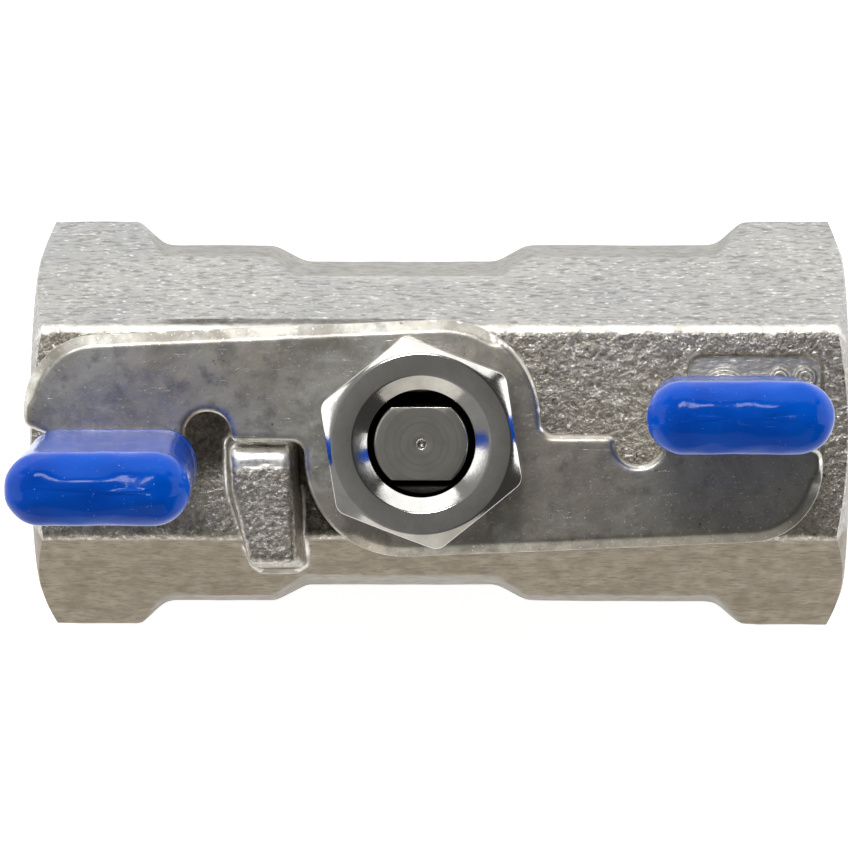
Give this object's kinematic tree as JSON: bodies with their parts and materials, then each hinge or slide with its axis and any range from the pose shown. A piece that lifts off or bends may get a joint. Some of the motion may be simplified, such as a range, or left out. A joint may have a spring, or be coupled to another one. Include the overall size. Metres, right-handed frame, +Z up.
{
  "type": "ball valve",
  "caption": "Hexagonal one-piece ball valve with threaded ports and a two-wing quarter-turn handle that turns the bored ball to stop or pass flow.",
  "frame": {"origin": "on the bottom flat of the hexagonal body, straight below the stem axis", "axes": "+X along the bore towards the screwed-in insert (outlet end), +Z up the stem, +Y to the left seen along +X"},
  "size_m": [0.0587, 0.0298, 0.054],
  "materials": {
    "cast_steel": "rough cast, tumbled",
    "machined_steel": "turned",
    "ball_steel": "polished",
    "plate_steel": "stamped and tumbled",
    "nut_steel": "bright",
    "blue_vinyl": "glossy dip coat",
    "white_ptfe": "waxy"
  },
  "bodies": {
    "valve_body": {"body_casting": "cast_steel", "end_insert": "machined_steel", "seat_inlet": "white_ptfe", "seat_outlet": "white_ptfe", "stem_thrust_washer": "white_ptfe", "packing_ring_lower": "white_ptfe", "packing_ring_middle": "white_ptfe", "packing_ring_upper": "white_ptfe", "gland_ring": "machined_steel"},
    "handle": {"handle_plate": "plate_steel", "wing_sleeve_right": "blue_vinyl", "wing_sleeve_left": "blue_vinyl", "handle_nut": "nut_steel", "stem": "machined_steel"},
    "ball": {"ball": "ball_steel"}
  },
  "joints": [
    {"name": "handle_turn", "type": "hinge", "parent": "valve_body", "child": "handle", "pos_m": [0, 0, 0.013], "axis": [0, 0, 1], "range_deg": [-90, 0]},
    {"name": "ball_turn", "type": "hinge", "parent": "valve_body", "child": "ball", "pos_m": [0, 0, 0.013], "axis": [0, 0, 1], "range_deg": [-90, 0]}
  ],
  "couplings": [
    {"joint": "ball_turn", "follows": "handle_turn", "ratio": 1}
  ]
}
